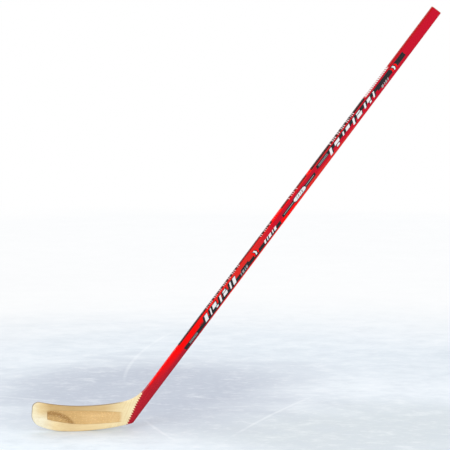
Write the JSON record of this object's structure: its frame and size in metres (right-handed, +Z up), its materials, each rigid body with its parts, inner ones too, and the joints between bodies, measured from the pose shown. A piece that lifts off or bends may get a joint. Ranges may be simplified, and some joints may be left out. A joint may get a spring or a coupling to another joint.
{
  "type": "ice hockey stick",
  "caption": "Laminated wooden ice hockey stick with a red rectangular shaft and a curved, rockered wooden blade glued into a slot in the shaft's foot.",
  "frame": {"origin": "on the shaft's centre line at the middle of the top hand's grip, 60 mm from the butt end", "axes": "+Z up with the stick in its playing pose and the sole level on the ice, X along the blade with the toe towards -X, +Y through the thickness from the convex backhand face to the forehand face"},
  "size_m": [1.2077, 0.0365, 1.2132],
  "materials": {
    "shaft_plies": "birch plies, edges painted bright red, gloss",
    "shaft_glass": "glass laminate, painted crimson, gloss",
    "core_wood": "ash, clear finish",
    "rail_wood": "pale birch, clear finish",
    "toe_wood": "pale poplar, clear finish",
    "blade_cloth": "woven glass cloth in clear resin, satin"
  },
  "bodies": {
    "root": {"shaft_ply_01": "shaft_plies", "shaft_ply_02": "shaft_plies", "shaft_ply_03": "shaft_plies", "shaft_ply_04": "shaft_plies", "shaft_ply_05": "shaft_plies", "shaft_ply_06": "shaft_plies", "shaft_ply_07": "shaft_plies", "shaft_ply_08": "shaft_plies", "shaft_ply_09": "shaft_plies", "shaft_ply_10": "shaft_plies", "shaft_ply_11": "shaft_plies", "shaft_ply_12": "shaft_plies", "shaft_glass_front": "shaft_glass", "shaft_glass_back": "shaft_glass", "blade_core": "core_wood", "blade_top_rail": "rail_wood", "blade_sole_rail": "rail_wood", "blade_toe_block": "toe_wood", "heel_cheek_front": "toe_wood", "heel_cheek_back": "toe_wood", "blade_cloth_front": "blade_cloth", "blade_cloth_back": "blade_cloth"}
  },
  "joints": []
}
